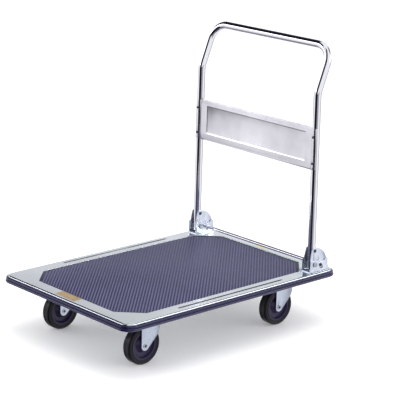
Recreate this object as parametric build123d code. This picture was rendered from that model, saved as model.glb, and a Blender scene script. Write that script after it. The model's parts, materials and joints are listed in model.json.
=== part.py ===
"""Folding platform cart: pressed steel deck, ribbed mat, bumper, folding tube handle, two fixed and two
swivel casters.

Millimetres, +Z up, floor at Z = 0. The deck's centre is over the origin, its length runs along Y, the
handle stands at the +Y end, and the two sides mirror each other about X = 0.
"""

import os
from math import atan2, cos, degrees, hypot, pi, sin

from build123d import *

# Overall sizes
DECK_LENGTH = 916.0  # over the bumper
DECK_WIDTH = 640.0  # over the bumper
DECK_TOP = 187.0  # the rim's top face above the floor
WHEEL_D = 125.0
HANDLE_TOP = 943.5  # the handle's highest point

# Deck pan
SHEET = 2.0
CORNER_R = 40.0  # the bumper's outer corner
RIM_ROUND = 5.0
FLANGE_DEPTH = 21.0  # from the rim's top down to the flange's lower edge
RIM_WIDTH_SIDE = 50.0  # flat and rounded rim between the well and the pan's outer face
RIM_WIDTH_END = 47.0
WELL_DEPTH = 4.5
WELL_CHAMFER = 72.0
WELL_LIP_ROUND = 1.6
GROOVE_LENGTH = 454.0
GROOVE_WIDTH = 8.0
GROOVE_DEPTH = 3.0
GROOVE_SLOPE = 45.0  # of the groove's sides, in degrees
GROOVE_FROM_WELL = 26.0  # from the well's edge to the groove's centre line
MAT_THICKNESS = 2.1
MAT_GAP = 0.6
LABEL_THICKNESS = 0.2
LABEL_FRONT = (96.0, 34.0)
LABEL_REAR = (36.0, 20.0)
LABEL_FROM_WELL = (2.0, 13.0)  # front and rear
LABEL_OFFSET_X = -9.5

# Bumper
BUMPER_PROUD = 9.0
BUMPER_TOP_DROP = 5.0  # below the rim's top
BUMPER_SPLIT_DROP = 12.6
BUMPER_BOTTOM_DROP = 23.4
BUMPER_UPPER_LOBE = 6.9
BUMPER_WAIST = 5.6
BUMPER_LIP = 2.2
BUMPER_LIP_HEIGHT = 9.0

# Frame under the pan
CHANNEL_HEIGHT = 24.5
CHANNEL_WIDTH = 110.0
CHANNEL_END_INSET = 61.0  # from the pan's outer face
CHANNEL_SHEET = 2.5
STIFFENER_WIDTH = 40.0
STIFFENER_HEIGHT = 16.0
STIFFENER_X = 110.0
STIFFENER_SHEET = 1.5

# Wheels and casters
WHEEL_WIDTH = 33.0
WHEEL_INSET = 106.5  # from the pan's outer face to the wheel's centre plane
FRONT_AXLE_INSET = 146.6  # from the pan's end to the axle
REAR_AXLE_INSET = 168.2
CASTER_TRAIL = 36.0  # from the axle back to the plate's centre and the king pin
RIM_R = 47.0
CORE_WIDTH = 30.0
CORE_RIM = 5.0
WEB_THICKNESS = 9.0
HUB_R = 17.0
BUSH_R = 9.0
AXLE_R = 6.0
AXLE_HEAD_R = 7.8
AXLE_HEAD = 1.2
AXLE_BORE_R = 4.4
AXLE_BORE_DEPTH = 12.0
RUNNING_GAP = 0.05  # a shaft in its hole
SIDE_GAP = 0.4  # a turning part beside a still one
FORK_SHEET = 2.5
FORK_GAP = 1.0  # between the tyre's face and the fork's leg
FORK_TIP_R = 15.0
FORK_BACK = 58.0  # the leg's rear edge behind the axle
FORK_BACK_HEIGHTS = (29.0, 47.0)
FORK_BACK_KNEE = 50.0
CROWN_GAP = 6.0  # between the wheel's top and the crown
CROWN_SHEET = 3.0
CROWN_R = 31.0
PLATE_SHEET = 3.5
PLATE_SIZE = (90.0, 104.0)
PLATE_HOLES = (70.0, 80.0)
BOLT_R = 4.0
BOLT_CLEARANCE = 0.25
BOLT_HEAD_R = 7.5
BOLT_HEAD = 5.5
NUT_HEIGHT = 6.0
RACE_INNER_R = 14.0
RACE_OUTER_R = 27.0
RACE_HEIGHT = 7.5
BALL_R = 3.175
BALL_RING_R = 21.0
BALL_COUNT = 12
BALL_GAP = 0.3
KING_PIN_R = 6.0
KING_HEAD_R = 10.0
KING_HEAD = 5.0

# Handle
TUBE_R = 12.7
TUBE_WALL = 1.5
HANDLE_INSET = 85.0  # from the pan's rear end to the uprights
HINGE_INSET = 30.5  # from the pan's side to the hinge's centre
SHOULDER_TAPER = 4.1  # how much nearer the middle the shoulders stand
TAPER_START_Z = 292.0
SHOULDER_Z = 784.6
LEAN_Y = 58.8  # how far the top bar stands behind the uprights
SHOULDER_R = 70.0
TOP_CORNER_R = 60.0
TAPER_R = 600.0
FOOT_BELOW_PIVOT = 15.0

# Handle panel
PANEL_BOTTOM = 530.0
PANEL_HEIGHT = 144.0
PANEL_SHEET = 1.5
PANEL_RIDGE_BEHIND_TUBE = 5.2  # the ridge's front face behind the tubes' front
PANEL_EDGE_SET_BACK = 3.5  # behind the ridge
PANEL_FIELD_SET_BACK = 2.5
PANEL_BORDER_TOP = 20.0
PANEL_BORDER_BOTTOM = 25.0
PANEL_BORDER_SIDE = 41.5  # from the upright's axis
PANEL_STEP = 5.5  # height of the slope round the field
PANEL_TUBE_GAP = 0.1
SADDLE_INSET = 4.0  # the saddles end below and above the panel's edges
SADDLE_REACH = 10.0  # round the tube, outward from its axis
SADDLE_BACK = 3.0  # the saddle's inner edge in front of the tube's axis
PANEL_RIVET_INSET = (24.0, 32.0)  # from the lower and the upper edge
RIVET_R = 2.4
RIVET_HEAD_R = 4.2
RIVET_HEAD = 1.4

# Hinges and release bar
PIVOT_HEIGHT = 26.0  # above the rim's top
PIVOT_R = 6.0
PIVOT_HEAD_R = 8.5
PIVOT_HEAD = 2.5
BUSH_WALL = 2.0
CAM_SHEET = 3.0
CAM_TUBE_GAP = 0.1
CAM_R = 57.0
CAM_HUB_R = 20.0
CAM_RIVET_RISE = 46.5  # above the pivot
CAM_RIVET_R = 4.0
CHEEK_SHEET = 3.0
BASE_SHEET = 3.0
BASE_LEDGE = 5.5
BAR_R = 5.5
BAR_BEHIND_PIVOT = 26.5
BAR_BELOW_PIVOT = 4.5
BAR_TRAVEL = 10.0
BAR_TRAVEL_DIR = (0.555, -0.832)  # Y and Z
BAR_SLOT_GAP = 0.4
CAM_BAR_GAP = 2.5  # between the sector plates' hollows and the bar
BAR_CAP = 6.0
SPRING_WIDTH = 18.0
SPRING_SHEET = 1.0

# Worked out from the sizes above
PAN_X = DECK_WIDTH / 2 - BUMPER_PROUD
PAN_Y = DECK_LENGTH / 2 - BUMPER_PROUD
PAN_CORNER_R = CORNER_R - BUMPER_PROUD
HANDLE_Y = PAN_Y - HANDLE_INSET
HINGE_X = PAN_X - HINGE_INSET
SHOULDER_X = HINGE_X - SHOULDER_TAPER
CASTER_X = PAN_X - WHEEL_INSET
FRONT_AXLE_Y = FRONT_AXLE_INSET - PAN_Y
REAR_AXLE_Y = PAN_Y - REAR_AXLE_INSET
CHANNEL_HALF_LENGTH = PAN_X - CHANNEL_END_INSET
FLANGE_BOTTOM = DECK_TOP - FLANGE_DEPTH
WELL_X = PAN_X - RIM_WIDTH_SIDE
WELL_Y = PAN_Y - RIM_WIDTH_END
WELL_FLOOR = DECK_TOP - WELL_DEPTH
PAN_UNDERSIDE = WELL_FLOOR - SHEET
RIM_UNDERSIDE = DECK_TOP - SHEET
CHANNEL_BOTTOM = PAN_UNDERSIDE - CHANNEL_HEIGHT
AXLE_Z = WHEEL_D / 2
CROWN_BOTTOM = WHEEL_D + CROWN_GAP
CROWN_TOP = CROWN_BOTTOM + CROWN_SHEET
PLATE_BOTTOM = CHANNEL_BOTTOM - PLATE_SHEET
LEG_INNER = WHEEL_WIDTH / 2 + FORK_GAP
LEG_OUTER = LEG_INNER + FORK_SHEET
HUB_HALF = LEG_INNER - SIDE_GAP
PIVOT_Z = DECK_TOP + PIVOT_HEIGHT
CAM_INNER = TUBE_R + CAM_TUBE_GAP
CAM_OUTER = CAM_INNER + CAM_SHEET
CHEEK_INNER = CAM_OUTER + SIDE_GAP
CHEEK_OUTER = CHEEK_INNER + CHEEK_SHEET
BASE_TOP = DECK_TOP + BASE_SHEET
BAR_Y = HANDLE_Y + BAR_BEHIND_PIVOT
BAR_Z = PIVOT_Z - BAR_BELOW_PIVOT
BRACKET_FRONT = HANDLE_Y - 22.0
BRACKET_BACK = BAR_Y + 40.5
BRACKET_BOLT_Y = (HANDLE_Y - 14.0, BAR_Y + 22.0)
TOP_BAR_Z = HANDLE_TOP - TUBE_R
PANEL_Y = HANDLE_Y - TUBE_R + PANEL_RIDGE_BEHIND_TUBE
PANEL_TOP = PANEL_BOTTOM + PANEL_HEIGHT
PANEL_RIVET_Z = (PANEL_BOTTOM + PANEL_RIVET_INSET[0], PANEL_TOP - PANEL_RIVET_INSET[1])
SADDLE_INNER_R = TUBE_R + PANEL_TUBE_GAP
SADDLE_OUTER_R = SADDLE_INNER_R + PANEL_SHEET
SIDES = {"left": -1, "right": 1}


def block(x0, x1, y0, y1, z0, z1):
    """A box between two corners."""
    size = Box(x1 - x0, y1 - y0, z1 - z0)
    return Pos((x0 + x1) / 2, (y0 + y1) / 2, (z0 + z1) / 2) * size


def rod_x(y, z, radius, x0, x1):
    """A cylinder along X."""
    start = (Align.CENTER, Align.CENTER, Align.MIN)
    return Pos(min(x0, x1), y, z) * Rot(0, 90, 0) * Cylinder(radius, abs(x1 - x0), align=start)


def rod_y(x, z, radius, y0, y1):
    """A cylinder along Y."""
    start = (Align.CENTER, Align.CENTER, Align.MIN)
    return Pos(x, y0, z) * Rot(-90, 0, 0) * Cylinder(radius, y1 - y0, align=start)


def rod_z(x, y, radius, z0, z1):
    """A cylinder along Z."""
    start = (Align.CENTER, Align.CENTER, Align.MIN)
    return Pos(x, y, z0) * Cylinder(radius, z1 - z0, align=start)


def hex_z(x, y, radius, z0, z1):
    """A hexagonal prism along Z, radius to its corners."""
    return Pos(x, y, z0) * extrude(RegularPolygon(radius, 6), z1 - z0)


def slab_x(outline, x0, x1):
    """A plate square to X, from an outline of Y and Z points."""
    face = Plane.YZ.offset(min(x0, x1)) * make_face(Polyline(*outline, close=True))
    return extrude(face, abs(x1 - x0))


def slot_x(y, z, travel_y, travel_z, radius, x0, x1):
    """A round-ended slot through X, from one centre to the other."""
    length = hypot(travel_y, travel_z)
    middle = Box(abs(x1 - x0), length, 2 * radius)
    turn = degrees(atan2(travel_z, travel_y))
    middle = Pos((x0 + x1) / 2, y + travel_y / 2, z + travel_z / 2) * Rot(turn, 0, 0) * middle
    ends = rod_x(y, z, radius, x0, x1) + rod_x(y + travel_y, z + travel_z, radius, x0, x1)
    return middle + ends


def rounded_slab(half_x, half_y, radius, z0, z1):
    """A flat slab with rounded upright corners."""
    return Pos(0, 0, z0) * extrude(RectangleRounded(2 * half_x, 2 * half_y, radius), z1 - z0)


def octagon_slab(half_x, half_y, chamfer, z0, z1):
    """A flat slab whose four corners are cut off at 45 degrees."""
    corners = [
        (half_x, half_y - chamfer), (half_x - chamfer, half_y),
        (chamfer - half_x, half_y), (-half_x, half_y - chamfer),
        (-half_x, chamfer - half_y), (chamfer - half_x, -half_y),
        (half_x - chamfer, -half_y), (half_x, chamfer - half_y),
    ]
    return Pos(0, 0, z0) * extrude(make_face(Polyline(*corners, close=True)), z1 - z0)


def octagon_offset(gap):
    """How much the octagon's cut corners change when its sides move out by gap."""
    return gap * (2 - 2**0.5)


def lengthwise_slot(x, width, length, z0, z1):
    """A round-ended slot along Y."""
    return Pos(x, 0, z0) * extrude(Rot(0, 0, 90) * SlotOverall(length, width), z1 - z0)


def mirrored(make):
    """The left and right copies of a piece, by side name."""
    return {side: make(sign) for side, sign in SIDES.items()}


def deck_pan():
    """The pressed deck: rounded rim, turned-down flange, eight-sided well and two long grooves."""
    outer = rounded_slab(PAN_X, PAN_Y, PAN_CORNER_R, FLANGE_BOTTOM, DECK_TOP)
    outer = fillet(outer.faces().sort_by(Axis.Z)[-1].edges(), RIM_ROUND)
    inner = rounded_slab(
        PAN_X - SHEET, PAN_Y - SHEET, PAN_CORNER_R - SHEET, FLANGE_BOTTOM, RIM_UNDERSIDE
    )
    inner = fillet(inner.faces().sort_by(Axis.Z)[-1].edges(), RIM_ROUND - SHEET)
    pan = outer - inner
    wide = WELL_CHAMFER + octagon_offset(SHEET)
    pan += octagon_slab(WELL_X + SHEET, WELL_Y + SHEET, wide, PAN_UNDERSIDE, RIM_UNDERSIDE)
    pan -= octagon_slab(WELL_X, WELL_Y, WELL_CHAMFER, WELL_FLOOR, DECK_TOP)
    lip = [
        edge for edge in pan.edges().filter_by_position(Axis.Z, DECK_TOP, DECK_TOP)
        if abs(edge.center().X) < WELL_X + 1 and abs(edge.center().Y) < WELL_Y + 1
    ]
    pan = fillet(lip, WELL_LIP_ROUND)
    for sign in SIDES.values():
        x = sign * (WELL_X + GROOVE_FROM_WELL)
        floor = DECK_TOP - GROOVE_DEPTH
        pan += lengthwise_slot(
            x, GROOVE_WIDTH + 2 * SHEET, GROOVE_LENGTH + 2 * SHEET, floor - SHEET, RIM_UNDERSIDE
        )
        mouth = Plane.XY.offset(DECK_TOP) * Pos(x, 0) * SlotOverall(GROOVE_LENGTH, GROOVE_WIDTH, rotation=90)
        pan -= extrude(mouth, -GROOVE_DEPTH, taper=GROOVE_SLOPE)
        for y in BRACKET_BOLT_Y:
            pan -= rod_z(sign * HINGE_X, y, BOLT_R + BOLT_CLEARANCE, RIM_UNDERSIDE, DECK_TOP)
    return pan


def mat():
    """The PVC mat in the deck's well."""
    cut = WELL_CHAMFER - octagon_offset(MAT_GAP)
    return octagon_slab(
        WELL_X - MAT_GAP, WELL_Y - MAT_GAP, cut, WELL_FLOOR, WELL_FLOOR + MAT_THICKNESS
    )


def label(size, end, from_well):
    """A plain sticker on the rim at one end of the deck."""
    half_x, half_y = size[0] / 2, size[1] / 2
    y = end * (WELL_Y + from_well + half_y)
    return block(
        LABEL_OFFSET_X - half_x, LABEL_OFFSET_X + half_x, y - half_y, y + half_y,
        DECK_TOP, DECK_TOP + LABEL_THICKNESS,
    )


def bumper_section():
    """The bumper's section: X out from the pan's face, Y as height."""
    top = DECK_TOP - BUMPER_TOP_DROP
    split = DECK_TOP - BUMPER_SPLIT_DROP
    bottom = DECK_TOP - BUMPER_BOTTOM_DROP
    lip = SHEET + BUMPER_LIP
    upper = ThreePointArc((0, top), (BUMPER_UPPER_LOBE, (top + split) / 2 + 1), (BUMPER_WAIST, split))
    lower = ThreePointArc(
        (BUMPER_WAIST, split), (BUMPER_PROUD, (split + bottom) / 2), (BUMPER_WAIST, bottom)
    )
    inside = Polyline(
        (BUMPER_WAIST, bottom), (-lip, bottom), (-lip, bottom + BUMPER_LIP_HEIGHT),
        (-SHEET, bottom + BUMPER_LIP_HEIGHT), (-SHEET, FLANGE_BOTTOM), (0, FLANGE_BOTTOM), (0, top),
    )
    return make_face([upper, lower, inside])


def bumper():
    """The PVC strip round the deck's flange: four straight runs and four turned corners."""
    section = bumper_section()
    straight_x = PAN_X - PAN_CORNER_R
    straight_y = PAN_Y - PAN_CORNER_R
    upright = Rot(90, 0, 0) * section
    corner_half = revolve(Pos(PAN_CORNER_R, 0, 0) * upright, Axis.Z, 90)
    strip = None
    for turn, run, shift in (
        (0, straight_y, (straight_x, straight_y)), (90, straight_x, (-straight_x, straight_y)),
        (180, straight_y, (-straight_x, -straight_y)), (270, straight_x, (straight_x, -straight_y)),
    ):
        corner = Pos(*shift, 0) * Rot(0, 0, turn) * corner_half
        side = extrude(Pos(PAN_CORNER_R, 0, 0) * upright, 2 * run)
        side = Pos(*shift, 0) * Rot(0, 0, turn) * side
        strip = corner + side if strip is None else strip + corner + side
    return strip


def channel(centre_y):
    """A caster channel across the deck, open at the top, with holes for both casters' bolts."""
    half = CHANNEL_WIDTH / 2
    long = CHANNEL_HALF_LENGTH
    body = block(-long, long, centre_y - half, centre_y + half, CHANNEL_BOTTOM, PAN_UNDERSIDE)
    body -= block(
        -long, long, centre_y - half + CHANNEL_SHEET, centre_y + half - CHANNEL_SHEET,
        CHANNEL_BOTTOM + CHANNEL_SHEET, PAN_UNDERSIDE,
    )
    for sign in SIDES.values():
        for x, y in plate_holes(sign * CASTER_X, centre_y):
            body -= rod_z(x, y, BOLT_R + BOLT_CLEARANCE, CHANNEL_BOTTOM, CHANNEL_BOTTOM + CHANNEL_SHEET)
        body -= rod_z(
            sign * CASTER_X, centre_y, KING_HEAD_R + 2, CHANNEL_BOTTOM, CHANNEL_BOTTOM + CHANNEL_SHEET
        )
    return body


def stiffener(sign):
    """A top-hat rib under the deck, between the caster channels."""
    front = FRONT_AXLE_Y + CASTER_TRAIL + CHANNEL_WIDTH / 2
    back = REAR_AXLE_Y + CASTER_TRAIL - CHANNEL_WIDTH / 2
    half = STIFFENER_WIDTH / 2
    x = sign * STIFFENER_X
    low = PAN_UNDERSIDE - STIFFENER_HEIGHT
    rib = block(x - half, x + half, front, back, low, PAN_UNDERSIDE)
    return rib - block(
        x - half + STIFFENER_SHEET, x + half - STIFFENER_SHEET, front, back,
        low + STIFFENER_SHEET, PAN_UNDERSIDE,
    )


def plate_holes(x, y):
    """The four bolt places of a caster plate centred on x, y."""
    across, along = PLATE_HOLES[0] / 2, PLATE_HOLES[1] / 2
    return [(x + i * across, y + j * along) for i in (-1, 1) for j in (-1, 1)]


def caster_plate(x, y):
    """A caster's top plate with its four bolt holes."""
    plate = Pos(x, y, PLATE_BOTTOM) * extrude(RectangleRounded(*PLATE_SIZE, 8), PLATE_SHEET)
    for hole_x, hole_y in plate_holes(x, y):
        plate -= rod_z(hole_x, hole_y, BOLT_R + BOLT_CLEARANCE, PLATE_BOTTOM, CHANNEL_BOTTOM)
    return plate


def fork_legs(x, axle_y, top):
    """Two fork legs: a round tip at the axle, an upright front edge and a slanted rear edge."""
    tip = FORK_TIP_R * 2**-0.5
    low, high = FORK_BACK_HEIGHTS
    outline = [
        (axle_y - FORK_TIP_R, AXLE_Z), (axle_y - FORK_TIP_R, top), (axle_y + FORK_BACK, top),
        (axle_y + FORK_BACK, AXLE_Z + high), (axle_y + FORK_BACK_KNEE, AXLE_Z + low),
        (axle_y + tip, AXLE_Z - tip),
    ]
    legs = None
    for sign in SIDES.values():
        inner, outer = x + sign * LEG_INNER, x + sign * LEG_OUTER
        leg = slab_x(outline, inner, outer) + rod_x(axle_y, AXLE_Z, FORK_TIP_R, inner, outer)
        leg -= rod_x(axle_y, AXLE_Z, AXLE_R + RUNNING_GAP, inner, outer)
        legs = leg if legs is None else legs + leg
    return legs


def rigid_fork(x, axle_y):
    """A front caster's bracket: plate and legs in one pressing."""
    return caster_plate(x, axle_y + CASTER_TRAIL) + fork_legs(x, axle_y, PLATE_BOTTOM)


def ball_groove(x, y):
    """The ring that the balls run in."""
    middle = (CROWN_TOP + PLATE_BOTTOM) / 2
    return Pos(x, y, middle) * Torus(BALL_RING_R, BALL_R + BALL_GAP)


def race(x, y, z0, z1):
    """A ball race ring with its groove cut."""
    ring = rod_z(x, y, RACE_OUTER_R, z0, z1) - rod_z(x, y, RACE_INNER_R, z0, z1)
    return ring - ball_groove(x, y)


def swivel_plate(x, axle_y):
    """A rear caster's top plate with the upper ball race under it."""
    y = axle_y + CASTER_TRAIL
    plate = caster_plate(x, y) - rod_z(x, y, KING_PIN_R, PLATE_BOTTOM, CHANNEL_BOTTOM)
    return plate + race(x, y, PLATE_BOTTOM - RACE_HEIGHT, PLATE_BOTTOM)


def swivel_fork(x, axle_y):
    """A rear caster's fork: legs, crown and the lower ball race on the crown."""
    y = axle_y + CASTER_TRAIL
    crown = block(
        x - LEG_OUTER, x + LEG_OUTER, axle_y - FORK_TIP_R, axle_y + FORK_BACK, CROWN_BOTTOM, CROWN_TOP
    )
    crown += rod_z(x, y, CROWN_R, CROWN_BOTTOM, CROWN_TOP)
    crown -= rod_z(x, y, KING_PIN_R + RUNNING_GAP, CROWN_BOTTOM, CROWN_TOP)
    return crown + fork_legs(x, axle_y, CROWN_TOP) + race(x, y, CROWN_TOP, CROWN_TOP + RACE_HEIGHT)


def swivel_balls(x, axle_y):
    """The balls between the two races."""
    middle = (CROWN_TOP + PLATE_BOTTOM) / 2
    y = axle_y + CASTER_TRAIL
    balls = []
    for i in range(BALL_COUNT):
        turn = 2 * pi * i / BALL_COUNT
        spot = Pos(x + BALL_RING_R * cos(turn), y + BALL_RING_R * sin(turn), middle)
        balls.append(spot * Sphere(BALL_R))
    return Compound(children=balls)


def king_pin(x, axle_y):
    """The pin that holds a swivel fork under its plate."""
    y = axle_y + CASTER_TRAIL
    pin = rod_z(x, y, KING_PIN_R, CROWN_BOTTOM - KING_HEAD, CHANNEL_BOTTOM + KING_HEAD)
    pin += rod_z(x, y, KING_HEAD_R, CHANNEL_BOTTOM, CHANNEL_BOTTOM + KING_HEAD)
    return pin + rod_z(x, y, KING_HEAD_R, CROWN_BOTTOM - KING_HEAD, CROWN_BOTTOM - SIDE_GAP)


def turned(x, y, outline):
    """A body turned about the axle: outline points are (distance along the axle, radius)."""
    face = make_face(Polyline(*outline, close=True))
    return Pos(x, y, AXLE_Z) * revolve(face, Axis.X)


def tyre(x, y):
    """The solid rubber tyre with rounded shoulders and a small bead at each side."""
    half = WHEEL_WIDTH / 2
    outer = WHEEL_D / 2
    body = Pos(x, y, AXLE_Z) * Rot(0, 90, 0) * Cylinder(outer, WHEEL_WIDTH)
    body = fillet(body.edges(), 5.0)
    for sign in SIDES.values():
        body -= turned(x, y, [
            (sign * half, RIM_R + 2), (sign * half, RIM_R + 7), (sign * (half - 1), RIM_R + 6),
            (sign * (half - 1), RIM_R + 3),
        ])
    return body - rod_x(y, AXLE_Z, RIM_R, x - half, x + half)


def wheel_core(x, y):
    """The moulded wheel core: rim, dished web and hub."""
    half, web = CORE_WIDTH / 2, WEB_THICKNESS / 2
    rim = RIM_R - CORE_RIM
    core = turned(x, y, [
        (-half, RIM_R), (-half, rim), (-half + 5, rim - 2), (-web, rim - 5), (-web, HUB_R + 7),
        (-half + 3, HUB_R + 1), (-HUB_HALF, HUB_R), (-HUB_HALF, BUSH_R),
        (HUB_HALF, BUSH_R), (HUB_HALF, HUB_R), (half - 3, HUB_R + 1), (web, HUB_R + 7),
        (web, rim - 5), (half - 5, rim - 2), (half, rim), (half, RIM_R),
    ])
    return core


def wheel_bush(x, y):
    """The steel bush in the hub."""
    bush = rod_x(y, AXLE_Z, BUSH_R, x - HUB_HALF, x + HUB_HALF)
    return bush - rod_x(y, AXLE_Z, AXLE_R + RUNNING_GAP, x - HUB_HALF, x + HUB_HALF)


def axle(x, y):
    """The riveted axle, hollow at its ends."""
    end = LEG_OUTER + AXLE_HEAD
    pin = rod_x(y, AXLE_Z, AXLE_R, x - end, x + end)
    for sign in SIDES.values():
        pin += rod_x(y, AXLE_Z, AXLE_HEAD_R, x + sign * LEG_OUTER, x + sign * end)
    for sign in SIDES.values():
        pin -= rod_x(y, AXLE_Z, AXLE_BORE_R, x + sign * (end - AXLE_BORE_DEPTH), x + sign * end)
    return pin


def caster_bolts():
    """The sixteen bolts through the caster plates, heads below."""
    top = CHANNEL_BOTTOM + CHANNEL_SHEET + NUT_HEIGHT + 2
    bolts = []
    for x, y in caster_bolt_places():
        bolts.append(
            rod_z(x, y, BOLT_R, PLATE_BOTTOM, top)
            + hex_z(x, y, BOLT_HEAD_R, PLATE_BOTTOM - BOLT_HEAD, PLATE_BOTTOM)
        )
    return Compound(children=bolts)


def caster_nuts():
    """The sixteen nuts inside the caster channels."""
    base = CHANNEL_BOTTOM + CHANNEL_SHEET
    return Compound(children=[nut(x, y, base) for x, y in caster_bolt_places()])


def caster_bolt_places():
    """Every caster bolt's place."""
    return [
        place for axle_y in (FRONT_AXLE_Y, REAR_AXLE_Y) for sign in SIDES.values()
        for place in plate_holes(sign * CASTER_X, axle_y + CASTER_TRAIL)
    ]


def nut(x, y, base):
    """A hexagonal nut standing on base."""
    return hex_z(x, y, BOLT_HEAD_R, base, base + NUT_HEIGHT) - rod_z(x, y, BOLT_R, base, base + NUT_HEIGHT)


def bar_slot(x0, x1):
    """The slot that the release bar slides in."""
    reach = BAR_TRAVEL_DIR[0] * BAR_TRAVEL, BAR_TRAVEL_DIR[1] * BAR_TRAVEL
    return slot_x(BAR_Y, BAR_Z, *reach, BAR_R + BAR_SLOT_GAP, x0, x1)


def hinge_bracket(sign):
    """A bracket pressed from one sheet: a base on the rim and two cheeks with a slot each."""
    x = sign * HINGE_X
    valley = BAR_Z + BAR_R + 4.5
    outline = [
        (BRACKET_FRONT, DECK_TOP), (BRACKET_FRONT, PIVOT_Z + 18), (BAR_Y - 5, valley),
        (BAR_Y + 8, valley), (BAR_Y + 28, PIVOT_Z + 17), (BAR_Y + 33, PIVOT_Z + 12),
        (BAR_Y + 33, PIVOT_Z - 7), (BRACKET_BACK, BASE_TOP), (BRACKET_BACK, DECK_TOP),
    ]
    bracket = block(
        x - CHEEK_OUTER, x + CHEEK_OUTER, BRACKET_FRONT, BRACKET_BACK, DECK_TOP, BASE_TOP
    )
    ledge = sorted((x + sign * CHEEK_OUTER, x + sign * (CHEEK_OUTER + BASE_LEDGE)))
    bracket += block(*ledge, BRACKET_FRONT + 4, BRACKET_BACK, DECK_TOP, BASE_TOP - 1)
    for side in SIDES.values():
        inner, outer = x + side * CHEEK_INNER, x + side * CHEEK_OUTER
        cheek = slab_x(outline, inner, outer)
        corners = [e for e in cheek.edges().filter_by(Axis.X) if e.center().Z > valley - 1]
        cheek = fillet(corners, 2.5)
        cheek -= bar_slot(inner, outer)
        cheek -= rod_x(HANDLE_Y, PIVOT_Z, PIVOT_R + RUNNING_GAP, inner, outer)
        cheek -= rod_x(BAR_Y + 17, valley + 4.5, 3.0, inner, outer)
        bracket += cheek
    for y in BRACKET_BOLT_Y:
        bracket -= rod_z(x, y, BOLT_R + BOLT_CLEARANCE, DECK_TOP, BASE_TOP)
    return bracket


def bracket_bolts():
    """The four round-headed bolts that hold the brackets to the rim."""
    bolts = []
    for sign in SIDES.values():
        for y, under_head in zip(BRACKET_BOLT_Y, (BASE_TOP, BASE_TOP + SPRING_SHEET)):
            x = sign * HINGE_X
            head = rod_z(x, y, BOLT_HEAD_R - 0.5, under_head, under_head + 2.5)
            head = fillet(head.faces().sort_by(Axis.Z)[-1].edges(), 1.5)
            bolts.append(head + rod_z(x, y, BOLT_R, RIM_UNDERSIDE - NUT_HEIGHT - 2, under_head))
    return Compound(children=bolts)


def bracket_nuts():
    """The four nuts of the bracket bolts, under the rim."""
    return Compound(children=[
        nut(sign * HINGE_X, y, RIM_UNDERSIDE - NUT_HEIGHT)
        for sign in SIDES.values() for y in BRACKET_BOLT_Y
    ])


def pivot_bolts():
    """The two bolts that the handle turns on, with round heads outside."""
    bolts = []
    for sign in SIDES.values():
        x = sign * HINGE_X
        inner, outer = x - sign * (CHEEK_OUTER + PIVOT_HEAD), x + sign * CHEEK_OUTER
        head = rod_x(HANDLE_Y, PIVOT_Z, PIVOT_HEAD_R, outer, outer + sign * PIVOT_HEAD)
        bolts.append(head + rod_x(HANDLE_Y, PIVOT_Z, PIVOT_R, inner, outer))
    return Compound(children=bolts)


def pivot_nuts():
    """The two thin nuts on the pivot bolts' inner ends."""
    nuts = []
    for sign in SIDES.values():
        face = sign * (HINGE_X - CHEEK_OUTER)
        turn = Rot(0, 90, 0)
        body = extrude(RegularPolygon(PIVOT_HEAD_R, 6), PIVOT_HEAD)
        body -= Cylinder(PIVOT_R, 4 * PIVOT_HEAD)
        start = min(face, face - sign * PIVOT_HEAD)
        nuts.append(Pos(start, HANDLE_Y, PIVOT_Z) * turn * body)
    return Compound(children=nuts)


def release_bar():
    """The round bar across the rear of the deck that a foot presses down to free the handle."""
    end = HINGE_X + CHEEK_INNER - 1
    return rod_x(BAR_Y, BAR_Z, BAR_R, -end, end)


def release_bar_caps():
    """The plastic caps on the release bar's ends."""
    start = HINGE_X + CHEEK_INNER - 1
    return Compound(children=[
        rod_x(BAR_Y, BAR_Z, BAR_R, sign * start, sign * (start + BAR_CAP)) for sign in SIDES.values()
    ])


def release_spring(sign):
    """A leaf spring on the bracket's base that pushes the release bar up."""
    x = sign * HINGE_X
    base, top = BASE_TOP, BAR_Z - BAR_R - 0.3
    foot_end, foot_start = BRACKET_BACK - 6, BAR_Y + 14
    spring = slab_x([
        (foot_end, base), (foot_start, base), (BAR_Y + 3, top - 1.6 - SPRING_SHEET),
        (BAR_Y - 5, top - SPRING_SHEET), (BAR_Y - 5, top), (BAR_Y + 3, top - 1.6 + 0.4),
        (foot_start + 0.6, base + SPRING_SHEET), (foot_end, base + SPRING_SHEET),
    ], x - SPRING_WIDTH / 2, x + SPRING_WIDTH / 2)
    return spring - rod_z(x, BRACKET_BOLT_Y[1], BOLT_R + BOLT_CLEARANCE, base, base + SPRING_SHEET)


def handle_tube():
    """The handle: one bent tube with two uprights, a lean at each shoulder and a top bar."""
    foot = PIVOT_Z - FOOT_BELOW_PIVOT
    lean_y = HANDLE_Y + LEAN_Y
    half = [
        (HINGE_X, HANDLE_Y, foot), (HINGE_X, HANDLE_Y, TAPER_START_Z),
        (SHOULDER_X, HANDLE_Y, SHOULDER_Z), (SHOULDER_X, lean_y, TOP_BAR_Z),
    ]
    path = FilletPolyline(
        *half, *[(-x, y, z) for x, y, z in reversed(half)],
        radius=[TAPER_R, SHOULDER_R, TOP_CORNER_R, TOP_CORNER_R, SHOULDER_R, TAPER_R],
    )
    start = Plane(origin=half[0], z_dir=(0, 0, 1))
    tube = sweep(start * (Circle(TUBE_R) - Circle(TUBE_R - TUBE_WALL)), path=path)
    for sign in SIDES.values():
        x = sign * HINGE_X
        tube -= rod_x(HANDLE_Y, PIVOT_Z, PIVOT_R + BUSH_WALL, x - 2 * TUBE_R, x + 2 * TUBE_R)
        tube -= rod_x(HANDLE_Y, PIVOT_Z + CAM_RIVET_RISE, CAM_RIVET_R, x - 2 * TUBE_R, x + 2 * TUBE_R)
        for z in PANEL_RIVET_Z:
            tube -= rod_y(sign * upright_x(z), z, RIVET_R, HANDLE_Y - 2 * TUBE_R, HANDLE_Y)
    return tube


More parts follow.
